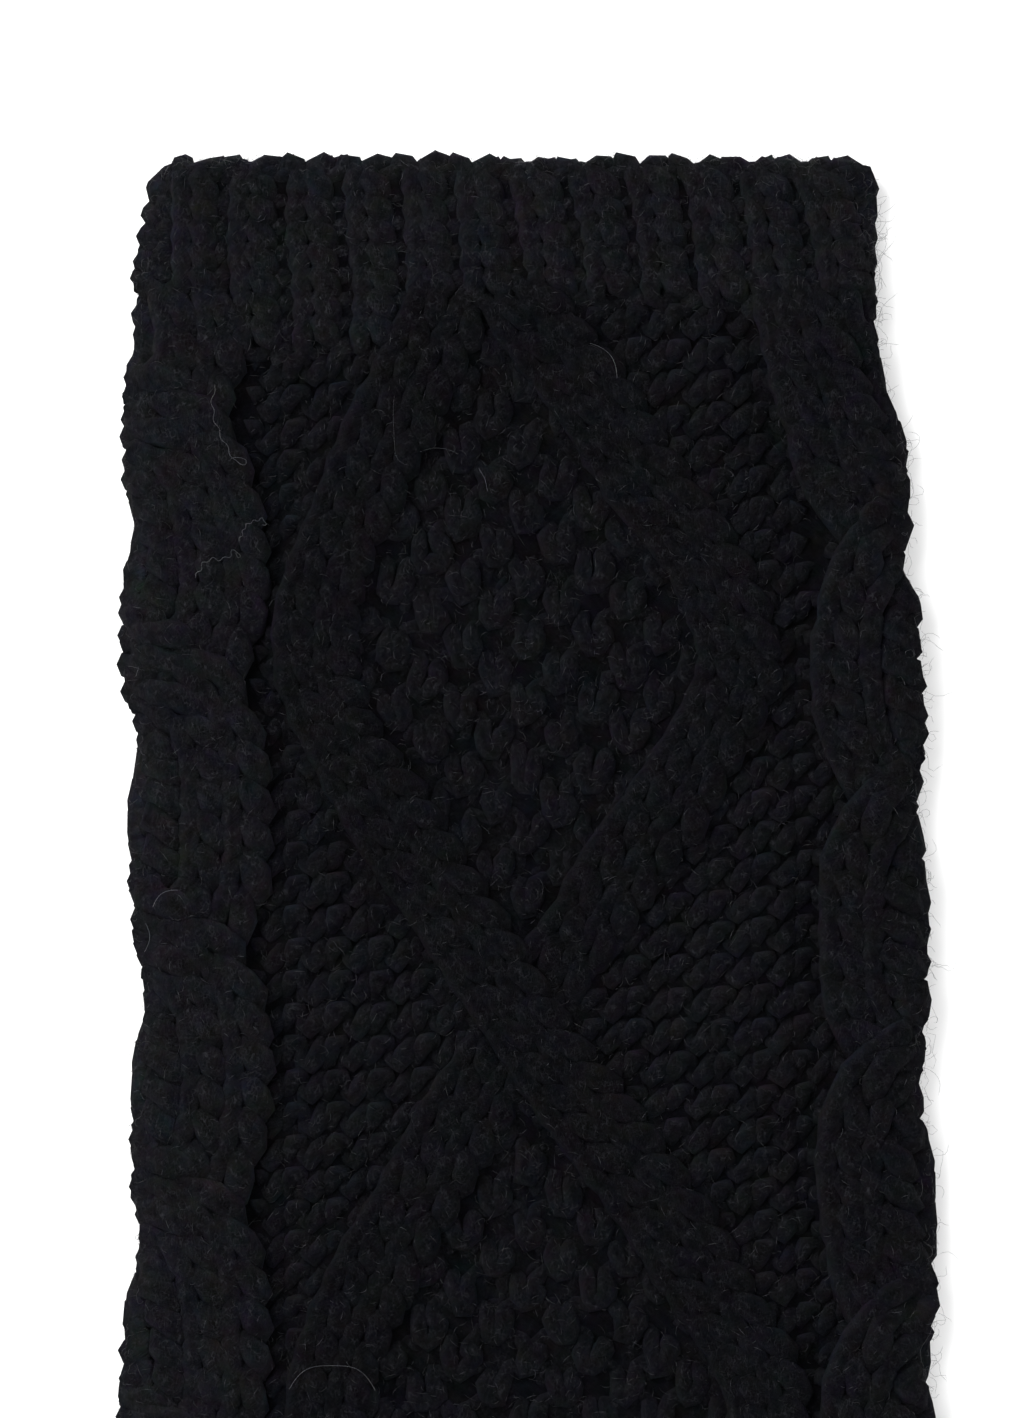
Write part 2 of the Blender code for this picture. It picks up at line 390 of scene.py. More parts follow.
@dataclass(frozen=True)
class Loops:
    """The form of a knitted loop, in stitch widths across and rows along.

    With t one full turn for each stitch, the path is t + swell * sin 2t across and skew * sin 2t - drop *
    cos t along. Outwards it is depth * (front * sin^2 t - head * cos^2 t): front is 1 on a knit stitch and -1
    on a purl one, and head is the same but for a loop's head, where it is front times next_row. Next_row is
    the face of the stitch that the next row knits into it, against its own. It is -1 in moss stitch, where
    heads lie in front as the legs do.

    Lean shears heads against feet, and skew tilts both, as the twist of the yarn does: on a knit stitch it
    makes the left leg a long upright cord and the right one a short slanting blob, thicker than the left by
    twice right_leg. Knit stitches lie lower, and purl ones higher, by stand. The yarn is thicker by its bulge
    where it lies free in front and thinner by as much where it is pinched behind. Past pass_start from a
    stitch's middle it passes to the next one's side, thinner by its pinch.
    """

    knit_swell: float = 0.235
    purl_swell: float = 0.14
    drop: float = 0.87
    depth: float = 0.00115
    knit_lean: float = 0.17
    purl_lean: float = -0.04
    knit_skew: float = 0.15
    purl_skew: float = 0.17
    bulge: float = 0.20
    right_leg: float = 0.12
    stand: float = 0.0
    pinch: float = 0.0
    next_row: float = 1.0
    pass_start: float = 0.28
    pass_run: float = 0.22
    samples: int = 11

    def course(self, faces: Array, closed: bool = False) -> tuple:
        """Return one course as arrays: stitch widths across, rows along, distance outwards and thickness.

        Args:
            faces: 1 for each knit stitch and -1 for each purl one, in order.
            closed: whether the course runs round the tube and meets its own start.

        Returns:
            The four arrays. Across counts from 0 at the middle of the first stitch, and thickness is a share
            of the yarn's usual one.
        """
        count = len(faces)
        share = np.arange(count * self.samples + (0 if closed else 1)) / self.samples - 0.5
        turn = FULL_TURN * share
        nearest = np.round(share)
        beside = nearest + np.where(share >= nearest, 1.0, -1.0)
        wrap = (lambda i: np.mod(i, count)) if closed else (lambda i: np.clip(i, 0, count - 1))
        own = faces[wrap(nearest).astype(int)]
        other = faces[wrap(beside).astype(int)]
        blend = 0.5 * smooth_step((np.abs(share - nearest) - self.pass_start) / self.pass_run)
        front = own + (other - own) * blend
        skew = np.where(front >= 0.0, self.knit_skew, self.purl_skew) * np.abs(front)
        along = skew * np.sin(2.0 * turn) - self.drop * np.cos(turn)
        lean = np.where(front >= 0.0, self.knit_lean, self.purl_lean) * np.abs(front)
        swell = self.purl_swell + (self.knit_swell - self.purl_swell) * (front + 1.0) / 2.0
        across = share + swell * np.sin(2.0 * turn) - lean * along
        head = np.where(np.cos(turn) >= 0.0, front * self.next_row, front)
        free = front * np.sin(turn) ** 2 - head * np.cos(turn) ** 2
        knit = np.clip(front, 0.0, 1.0)
        passing = 1.0 - np.abs(front)
        thick = 1.0 + self.bulge * free + self.right_leg * knit * np.sin(turn) - self.pinch * passing
        return across, along, self.depth * free - self.stand * front, thick


@dataclass(frozen=True)
class YarnFinish:
    """Soft black wool yarn: plies twisted together, loose fibres along and across them, and a slight bloom.

    Its black is mottled, and varies in hue by a noise, greener here and more purple there, as dyed wool is.
    It is painted lighter on the yarn's sides than on its crest, by the rim: painted light that lifts the
    shade falling in the gaps between the yarns. Its hairs are painted glints, thin light lines that are
    strongest on the crest, where the light falls. Each tone, bump and hair below is a sum or product of
    noises, with its weights beside them.
    """

    name: str = "black_wool"
    dark: tuple = (0.0007, 0.0007, 0.0009)
    light: tuple = (0.0041, 0.0042, 0.0054)
    # painted glint: the colour of the hairs, thin light lines that stand for loose fibres catching the light
    painted_glint: tuple = (0.0230, 0.0234, 0.0270)
    plies: float = 3.0
    ply_pitch: float = 0.0075
    sheen: float = 0.007
    sheen_roughness: float = 0.45
    sheen_tint: tuple = (0.72, 0.76, 0.88, 1.0)
    roughness: float = 0.85
    gloss: float = 0.01
    bump: float = 0.9
    bump_height: float = 0.0005
    slant: float = 1.7
    hair_width: float = 0.030
    hue: float = 1.75
    # painted light: how much lighter the yarn's sides are painted than its crest, against the shade between
    # yarns
    rim: float = 3.0

    def build(self) -> Material:
        """Return the material. The twist is a sine of the angle round the yarn plus the way along it."""
        nodes = NodeMaker.start(self.name, self.roughness, self.gloss)
        nodes.feed(nodes.shader, {"Sheen Weight": self.sheen, "Sheen Roughness": self.sheen_roughness,
                                  "Sheen Tint": self.sheen_tint})
        yarn = nodes.add("ShaderNodeAttribute", attribute_name="yarn")
        parts = nodes.add("ShaderNodeSeparateXYZ", {0: yarn.outputs["Vector"]}).outputs
        along = parts["Z"]
        angle = nodes.math("ARCTAN2", parts["Y"], parts["X"])
        twist = nodes.math("MULTIPLY", along, FULL_TURN / self.ply_pitch)
        turned = nodes.math("ADD", angle, twist)
        against = nodes.math("SUBTRACT", angle, twist)
        ply = nodes.math("SINE", nodes.math("MULTIPLY", turned, self.plies))
        fibres = nodes.streaks(turned, along, rate=160.0, scale=5.0)
        crossing = nodes.streaks(against, along, rate=110.0, scale=8.0)
        blotch = nodes.noise(scale=60.0, detail=5.0)
        mottle = nodes.noise(scale=420.0, detail=3.0)
        crest = nodes.range(parts["Y"], low=0.0, high=1.0)
        slanting = nodes.streaks(nodes.math("ADD", turned, self.slant), along, rate=190.0, scale=7.0)

        # the hairs: painted glints of loose fibres, thin lines across and along the yarn
        hairs = nodes.line(crossing, self.hair_width)
        hairs = nodes.math("MAXIMUM", hairs, nodes.line(slanting, self.hair_width))
        hairs = nodes.math("MAXIMUM", hairs, nodes.curls(scale=1100.0, turn=0.4, width=0.035))
        tufts = nodes.range(nodes.noise(scale=600.0, detail=3.0), low=0.42, high=0.72)
        hairs = nodes.math("MULTIPLY", hairs, nodes.math("MULTIPLY_ADD", tufts, 0.80, 0.14))
        # painted highlight: the glints are strongest on the crest, where the light falls
        hairs = nodes.math("MULTIPLY", hairs, nodes.math("MULTIPLY_ADD", crest, 0.8, 0.2))

        height = nodes.total(fibres, (ply, 0.18), (crossing, 0.6), (hairs, 0.3))
        bump = {"Strength": self.bump, "Distance": self.bump_height, "Height": height}
        normal = nodes.add("ShaderNodeBump", bump).outputs[0]
        tone = nodes.total(fibres, (ply, 0.05), (crossing, 0.6), (blotch, 0.7), (mottle, 1.4))
        wool = nodes.mix(nodes.range(tone, low=1.38, high=2.38), self.dark, self.light)
        # painted light: the sides are painted 1 + rim times as light as the crest, lifting the shade in the
        # gaps
        wool = nodes.scale(wool, nodes.math("MULTIPLY_ADD", crest, -self.rim, 1.0 + self.rim))
        wool = nodes.tint(wool, scale=230.0, detail=4.0, strength=self.hue)
        # the hairs are painted over the wool in the glint colour
        nodes.feed(nodes.shader, {"Normal": normal, "Base Color": nodes.mix(hairs, wool, self.painted_glint)})
        return nodes.material


@dataclass(frozen=True)
class FibreFinish:
    """Loose wool fibre, dark for the most part, with a few painted lighter: painted glints where fibres catch
    the light.
    """

    name: str = "black_fibre"
    dark: tuple = (0.006, 0.006, 0.007)
    # painted glint: the lighter tone that some fibres are painted, where they would catch the light
    light: tuple = (0.080, 0.080, 0.092)
    roughness: float = 0.5
    gloss: float = 0.3

    def build(self) -> Material:
        """Return the material, whose tone and hue wander from fibre to fibre, each by a noise."""
        nodes = NodeMaker.start(self.name, self.roughness, self.gloss)
        # on the black fibres, the lighter ones are painted glints
        light = nodes.range(nodes.noise(scale=900.0, detail=2.0), low=0.42, high=0.80)
        colour = nodes.tint(nodes.mix(light, self.dark, self.light), scale=300.0, detail=2.0, strength=0.6)
        nodes.feed(nodes.shader, {"Base Color": colour})
        return nodes.material


@dataclass
class NodeMaker:
    """Adds nodes to a material. A value is a number, a colour or another node's socket."""

    material: Material
    shader: bpy.types.Node

    @classmethod
    def start(cls, name: str, roughness: float, gloss: float) -> "NodeMaker":
        """Start a material with a Principled shader.

        Args:
            name: the material's name.
            roughness: the shader's roughness.
            gloss: its specular level.

        Returns:
            The maker of the material's other nodes.
        """
        material = bpy.data.materials.new(name)
        material.use_nodes = True
        maker = cls(material, material.node_tree.nodes["Principled BSDF"])
        maker.feed(maker.shader, {"Roughness": roughness, "Specular IOR Level": gloss})
        return maker

    def feed(self, node: bpy.types.Node, values: dict) -> None:
        """Give a node's inputs their values: a socket is linked, and anything else is set.

        Args:
            node: the node.
            values: a value for each input, by name or number.
        """
        for place, value in values.items():
            if isinstance(value, Socket):
                self.material.node_tree.links.new(value, node.inputs[place])
            else:
                node.inputs[place].default_value = value

    def add(self, kind: str, values: dict | None = None, **settings: object) -> bpy.types.Node:
        """Add a node.

        Args:
            kind: the node's type.
            values: a value for each input, by name or number.
            **settings: the node's own settings.

        Returns:
            The node.
        """
        node = self.material.node_tree.nodes.new(kind)
        for name, value in settings.items():
            setattr(node, name, value)
        self.feed(node, values or {})
        return node

    def here(self) -> Socket:
        """Return the object's own coordinates."""
        return self.add("ShaderNodeTexCoord").outputs["Object"]

    def noise(self, scale: float, detail: float, vector: Socket = None) -> Socket:
        """Add a noise on a vector, or else on the object's own coordinates, and return its value."""
        values = {"Vector": vector or self.here(), "Scale": scale, "Detail": detail, "Roughness": 0.65}
        return self.add("ShaderNodeTexNoise", values).outputs["Fac"]

    def streaks(self, angle: Socket, along: Socket, rate: float, scale: float) -> Socket:
        """Add a noise that is drawn out along the yarn, on (cos angle, sin angle, rate * along).

        Args:
            angle: the angle round the yarn.
            along: the distance along it.
            rate: how fast the noise changes along it.
            scale: the noise's scale.

        Returns:
            The noise's value.
        """
        x, y, z = self.math("COSINE", angle), self.math("SINE", angle), self.math("MULTIPLY", along, rate)
        place = self.add("ShaderNodeCombineXYZ", {"X": x, "Y": y, "Z": z})
        return self.noise(scale, 3.0, place.outputs[0])

    def line(self, value: Socket, width: float) -> Socket:
        """Return 1 where a value is a half, falling to 0 where it is further from it than the width."""
        return self.range(self.math("ABSOLUTE", self.math("SUBTRACT", value, 0.5)), width, 0.0)

    def curls(self, scale: float, turn: float, width: float) -> Socket:
        """Return fine curling lines, along which a smooth noise, turned and shifted by turn, is a half."""
        mapping = self.add("ShaderNodeMapping", {"Vector": self.here(), "Rotation": (0.0, 0.0, turn),
                                                 "Location": (turn, 0.0, 0.0), "Scale": (1.0, 0.55, 1.0)})
        return self.line(self.noise(scale, 1.0, mapping.outputs[0]), width)

    def range(self, value: Socket, low: float, high: float) -> Socket:
        """Return a value stretched so that low becomes 0 and high becomes 1, and held between them."""
        values = {"Value": value, "From Min": low, "From Max": high}
        return self.add("ShaderNodeMapRange", values).outputs["Result"]

    def mix(self, share: Socket, low: object, high: object) -> Socket:
        """Mix two colours, each a tuple of three or a socket.

        Args:
            share: how much of the second there is.
            low: the first.
            high: the second.

        Returns:
            The mixed colour.
        """
        low, high = (value if isinstance(value, Socket) else (*value, 1.0) for value in (low, high))
        mixer = self.add("ShaderNodeMix", data_type="RGBA")
        self.feed(mixer, {"Factor": share, "A": low, "B": high})
        return mixer.outputs["Result"]

    def tint(self, colour: Socket, scale: float, detail: float, strength: float) -> Socket:
        """Vary a colour's hue: each channel is multiplied by 1 + strength * (a noise of its own - 0.5).

        Args:
            colour: the colour.
            scale: the noise's scale.
            detail: the noise's detail.
            strength: how much of the noise there is.

        Returns:
            The varied colour.
        """
        noise = self.noise(scale, detail).node.outputs["Color"]
        factor = self.vector("MULTIPLY_ADD", {0: noise, 1: (strength,) * 3, 2: (1.0 - strength / 2.0,) * 3})
        return self.vector("MULTIPLY", {0: colour, 1: factor})

    def scale(self, colour: Socket, factor: Socket) -> Socket:
        """Return a colour multiplied by a factor."""
        return self.vector("SCALE", {0: colour, "Scale": factor})

    def total(self, first: Socket, *others: tuple) -> Socket:
        """Return the sum of a value and of others, each of which comes with its weight."""
        for value, weight in others:
            first = self.math("MULTIPLY_ADD", value, weight, first)
        return first

    def vector(self, operation: str, values: dict) -> Socket:
        """Return the result of an operation on one or more vectors or colours."""
        return self.add("ShaderNodeVectorMath", values, operation=operation).outputs["Vector"]

    def math(self, operation: str, *values: object) -> Socket:
        """Return the result of an operation on one or more values."""
        return self.add("ShaderNodeMath", dict(enumerate(values)), operation=operation).outputs[0]


@dataclass
class DiamondPath:
    """Where the diamond cable's two legs run."""

    sharpness: float = 0.965
    crossing_power: int = 9

    def middle(self, y: Array) -> Array:
        """Return x of the line that the legs cross on."""
        return read_table(TURNS, "middle", y)

    def reach(self, y: Array) -> Array:
        """Return how far the second leg lies to the right of the middle, and the first to its left.

        It is an arc sine of a sine: straight stretches with rounded turns.
        """
        phase = np.pi * read_table(TURNS, "phase", y)
        wave = np.arcsin(self.sharpness * np.sin(phase)) / math.asin(self.sharpness)
        return read_table(TURNS, "half_width", y) * wave

    def over(self, y: Array) -> Array:
        """Return 1 where the second leg crosses over the first, -1 where it crosses under, else near 0."""
        return np.cos(np.pi * read_table(TURNS, "phase", y)) ** self.crossing_power


@dataclass
class Knitting:
    """What all the stretches of knitting share: the tube, the loops, the yarn, the rows and unevenness."""

    tube: Tube
    path: DiamondPath = field(default_factory=DiamondPath)
    loops: Loops = field(default_factory=Loops)
    row_count: int = 67
    yarn: float = 0.00140
    slow_shift: float = 0.00040
    quick_shift: float = 0.00020
    slow_sizes: tuple = (0.022, 0.030)
    quick_size: float = 0.006
    swelling: float = 0.07
    swelling_size: float = 0.007
    seed: int = 0

    def body_end(self) -> float:
        """Return y of the body's upper end."""
        return self.tube.length / 2.0 - self.tube.cuff

    def row_pitch(self) -> float:
        """Return the distance between rows of the body."""
        return 2.0 * self.body_end() / self.row_count

    def rows(self) -> Array:
        """Return y of every row of the body, from the upper end down."""
        return self.body_end() - self.row_pitch() * (np.arange(self.row_count) + 0.5)

    def uneven(self, x: Array, y: Array, share: float | Array = 1.0) -> list[Array]:
        """Move places a little across and along, as hand knitting is uneven.

        Each shift is a slow wander, over several stitches, plus a quick one from stitch to stitch.

        Args:
            x: places across.
            y: places along.
            share: how much of the shifts is taken.

        Returns:
            The moved places, across and along.
        """
        moved = []
        for place, slow_size, seed in zip((x, y), self.slow_sizes, (self.seed, self.seed + 2)):
            quick = self.quick_shift * wander(x, y, seed + 1, self.quick_size)
            moved.append(place + share * (self.slow_shift * wander(x, y, seed, slow_size) + quick))
        return moved

    def thickness(self, x: Array, y: Array, radius: float) -> Array:
        """Return the yarn's radius, a little thicker and thinner along its way."""
        return radius * (1.0 + self.swelling * wander(x, y, self.seed + 7, self.swelling_size))


@dataclass
class Ground(Knitting):
    """The knitting between the ropes: purl stitches outside the diamonds and moss stitch inside them."""

    purl_width: float = 0.00586
    moss_width: float = 0.00460
    purl_loops: Loops = field(default_factory=lambda: Loops(
        drop=0.76, depth=0.00095, bulge=0.05, purl_swell=0.06, purl_skew=0.22, purl_lean=-0.01))
    moss_loops: Loops = field(default_factory=lambda: Loops(
        drop=0.54, stand=0.00028, depth=0.00105, knit_swell=0.10, purl_swell=0.12, knit_skew=0.14,
        purl_skew=0.10, knit_lean=0.12, bulge=0.17, right_leg=0.08, pinch=0.10, next_row=-1.0, samples=12))
    purl_yarn: float = 0.00130
    moss_yarn: float = 0.00122
    moss_uneven: float = 0.00050
    moss_uneven_size: float = 0.004
    lump: float = 0.00018
    lump_size: float = 0.010
    tilt: float = 0.045
    under_cable: float = 0.0013
    cable_half_width: float = 0.0050
    gutter: float = 0.0042
    gutter_share: float = 0.9
    steepness: float = 1.6
    overlap: float = 0.001
    tuck: float = 0.0034
    ribbed_rows: int = 1
    seed: int = 11

    def sink(self, x: Array, y: Array) -> Array:
        """Work out how far the ground is pressed in under the diamond's legs and beside the ropes.

        Each is a smooth step of the nearness to the leg's middle or the rope's edge, and the greater counts.

        Args:
            x: places across.
            y: places along.

        Returns:
            The depths there.
        """
        leg = np.abs(np.abs(x - self.path.middle(y)) - np.abs(self.path.reach(y)))
        rope = np.minimum(x - read_table(STATIONS, "left_rope", y), read_table(STATIONS, "right_rope", y) - x)
        under = smooth_step((1.0 - leg / self.cable_half_width) * self.steepness)
        beside = smooth_step((1.0 - rope / self.gutter) * self.steepness)
        return self.under_cable * np.maximum(under, self.gutter_share * beside)

    def openness(self, x: Array, y: Array) -> Array:
        """Return 1 where the ground lies open, falling to 0 where it is pressed in under a leg."""
        return 1.0 - self.sink(x, y) / self.under_cable

    def lay(self, mesh: YarnMesh, wales: Array, faces: Array, y: float) -> None:
        """Lay one run of stitches along a row, tilted a little, with lumps from place to place.

        Args:
            mesh: the yarn that it is kept in, of the purl ground or of the moss stitch.
            wales: the numbers of the wales, in order; a wale's number times a stitch's width is its x.
            faces: 1 or -1 for each stitch.
            y: the row's place.
        """
        moss = mesh.name == "moss_stitch"
        across, along, out, thick = (self.moss_loops if moss else self.purl_loops).course(faces)
        x = (across + wales[0]) * (self.moss_width if moss else self.purl_width)
        row = y + along * self.row_pitch() + self.tilt * x
        if moss:
            x = x + self.moss_uneven * wander(x, row, self.seed + 20, self.moss_uneven_size)
            row = row + self.moss_uneven * wander(x, row, self.seed + 21, self.moss_uneven_size)
        x, row = self.uneven(x, row)
        lift = out - self.sink(x, row) + self.lump * wander(x, row, self.seed + 5, self.lump_size)
        path, up = self.tube.place(self.tube.arc_of(x, row), row, lift)
        radius = self.thickness(x, row, self.moss_yarn if moss else self.purl_yarn) * thick
        mesh.sweep(path[None], up[None], radius[None])

    def knit(self) -> list[YarnMesh]:
        """Return the yarn of the purl ground and of the moss stitch, whose faces make a checkerboard."""
        purl = YarnMesh("purl_ground")
        moss = YarnMesh("moss_stitch")
        for index, y in enumerate(self.rows()):
            middle = float(self.path.middle(y))
            reach = abs(float(self.path.reach(y)))
            low = float(read_table(STATIONS, "left_rope", y)) - self.tuck
            high = float(read_table(STATIONS, "right_rope", y)) + self.tuck
            spans = [(middle + reach - self.overlap, high)]
            if index >= self.ribbed_rows:
                spans.append((low, middle - reach + self.overlap))
            for start, end in spans:
                wales = wales_between(start, end, self.purl_width)
                if len(wales):
                    self.lay(purl, wales, np.full(len(wales), Stitch.PURL.value), y)
            wales = wales_between(middle - reach, middle + reach, self.moss_width)
            if len(wales) > 1:
                faces = np.where((wales + index) % 2 == 0, Stitch.KNIT.value, Stitch.PURL.value)
                self.lay(moss, wales, faces, y)
        return [purl, moss]


def wales_between(low: float, high: float, width: float) -> Array:
    """Return the numbers of the wales of a width whose middles lie between two places on a row."""
    return np.arange(math.ceil(low / width), math.floor(high / width) + 1)


@dataclass
class Cable(Knitting):
    """What the cables share: two strands of knit wales, each laid course by course along its own way."""

    wale: float = 0.0058
    wales: int = 3
    slope_step: float = 0.0001

    def courses(self) -> tuple:
        """Return every course of a strand: offset from its middle, y, distance outwards and thickness."""
        across, along, out, thick = self.loops.course(np.full(self.wales, Stitch.KNIT.value))
        y = self.rows()[:, None] + along[None] * self.row_pitch()
        return (across[None] - (self.wales - 1) / 2.0) * self.wale, y, out, thick

    def slope(self, way: Callable, y: Array, sign: float) -> Array:
        """Return how fast a strand's way changes with y: the difference over a small step to each side."""
        step = self.slope_step
        return (way(y + step, sign) - way(y - step, sign)) / (2.0 * step)


@dataclass
class RopeCable(Cable):
    """A rope cable round one fold: two strands of three knit wales, which cross every eight rows or so."""

    side: Side = Side.LEFT
    crossing: float = 0.1327
    pitch: float = 0.036
    width: float = 0.036
    swing: float = 0.0080
    squareness: float = 1.7
    lift: float = 0.0017
    crown_fall: float = 0.35
    crossing_lift: float = 0.0010
    slant: float = 0.7
    notches: tuple = LEFT_NOTCHES
    notch_depth: float = 0.0010
    notch_rest: float = 0.6
    notch_cut: float = 2.0
    notch_power: int = 6
    top_start: float = 0.126
    top_run: float = 0.010
    top_draw: float = 0.0
    fold_calm: float = 0.85
    fold_fill: float = 0.30
    yarn: float = 0.00165
    seed: int = 31

    def turn(self, y: Array) -> Array:
        """Return the angle of the strands' turning, which starts half a turn above the first crossing."""
        return np.pi * np.minimum((y - self.crossing) / self.pitch, 0.5)

    def way(self, y: Array, sign: float) -> Array:
        """Return how far a strand's middle lies inwards of the rope's: a sine, squared off by a tanh."""
        sway = np.tanh(self.squareness * np.sin(self.turn(y))) / math.tanh(self.squareness)
        return sign * self.swing * sway

    def outline(self, y: Array) -> Array:
        """Return how far the fold swells out at y, flat between notches.

        The notches are a cosine's sixth power, and the fold is drawn in near the upper end by top_draw.
        """
        phase = np.interp(y, self.notches, np.arange(len(self.notches)))
        notch = self.notch_rest - self.notch_cut * np.cos(np.pi * phase) ** self.notch_power
        return self.notch_depth * notch - self.top_draw * smooth_step((y - self.top_start) / self.top_run)

    def lay_strand(self, mesh: YarnMesh, sign: float) -> None:
        """Lay every course of one strand.

        The strand's height falls as the square of the offset from its middle, and rises where it crosses
        over the other. The rows turn with the strand by part of its slope.

        Args:
            mesh: where the yarn is kept.
            sign: 1 for the first strand and -1 for the second.
        """
        offset, y, out, thick = self.courses()
        lean = self.slant * np.arctan(self.slope(self.way, y, sign) * self.side.value)
        inwards = self.way(y, sign) + self.side.value * offset * np.cos(lean)
        row = y - offset * np.sin(lean)
        edge = read_table(STATIONS, f"{self.side.name.lower()}_rope", row)
        arc = self.tube.arc_of(edge, row) + self.side.value * (inwards - self.width / 2.0)
        arc, row = self.uneven(arc, row)
        crown = 1.0 - self.crown_fall * (offset / self.wale / (self.wales / 2.0)) ** 2
        sideways = np.abs(self.tube.place(arc, row, 0.0)[1][..., 0])
        calm = 1.0 - self.fold_calm * sideways
        over = -sign * np.cos(self.turn(y))
        lift = self.lift * crown + self.crossing_lift * over * calm
        rise = lift * self.tube.exposure(arc, row) + self.outline(row) * sideways + out * calm
        path, up = self.tube.place(arc, row, rise)
        thick = (1.0 + (thick - 1.0) * calm) * (1.0 + self.fold_fill * sideways)
        mesh.sweep(path, up, self.thickness(arc, row, self.yarn) * thick)

    def knit(self) -> YarnMesh:
        """Return the rope cable's yarn."""
        mesh = YarnMesh(f"{self.side.name.lower()}_rope_cable")
        for sign in (1.0, -1.0):
            self.lay_strand(mesh, sign)
        return mesh


@dataclass
class DiamondCable(Cable):
    """The diamond cable: two legs of two knit wales that part, turn and cross."""

    wale: float = 0.0052
    wales: int = 2
    first_lift: float = 0.0016
    second_lift: float = 0.0012
    crossing_lift: float = 0.0009
    yarn: float = 0.00155
    seed: int = 51

    def way(self, y: Array, sign: float) -> Array:
        """Return how far a leg's middle lies to the right of the line that the legs cross on."""
        return sign * self.path.reach(y)

    def lay_strand(self, mesh: YarnMesh, sign: float) -> None:
        """Lay every course of one leg, square to its way.

        Args:
            mesh: where the yarn is kept.
            sign: -1 for the first leg, which starts towards the left, and 1 for the second.
        """
        offset, y, out, thick = self.courses()
        lean = np.arctan(self.slope(self.way, y, sign))
        x = self.path.middle(y) + self.way(y, sign) + offset * np.cos(lean)
        x, row = self.uneven(x, y - offset * np.sin(lean))
        lift = self.first_lift if sign < 0.0 else self.second_lift
        lift = lift + sign * self.crossing_lift * self.path.over(y)
        path, up = self.tube.place(self.tube.arc_of(x, row), row, lift + out)
        mesh.sweep(path, up, self.thickness(x, row, self.yarn) * thick)

    def knit(self) -> YarnMesh:
        """Return the diamond cable's yarn."""
        mesh = YarnMesh("diamond_cable")
        for sign in (-1.0, 1.0):
            self.lay_strand(mesh, sign)
        return mesh


@dataclass
class Back(Knitting):
    """The plain purl back, on which the arm warmer lies."""

    width: float = 0.0056
    sides: int = 6
    loops: Loops = field(default_factory=lambda: Loops(samples=8, drop=0.76))
    right_overlap: float = 0.010
    left_overlap: float = 0.004
    seed: int = 71

    def knit(self) -> YarnMesh:
        """Return the yarn of the back, which runs from under the right rope to under the left one."""
        mesh = YarnMesh("purl_back", sides=self.sides)
        y = self.rows()[:, None]
        bend = math.pi * self.tube.fold
        start = self.tube.flat(y) + bend * 1.5 + self.right_overlap
        end = self.tube.round(y) - bend / 2.0 - self.left_overlap
        count = int(round(float(np.mean(end - start)) / self.width))
        across, along, out, thick = self.loops.course(np.full(count, Stitch.PURL.value))
        y = y + along[None] * self.row_pitch()
        arc = start + (end - start) * (across[None] + 0.5) / count
        path, up = self.tube.place(*self.uneven(arc, y), out[None])
        mesh.sweep(path, up, self.thickness(arc, y, self.yarn) * thick)
        return mesh


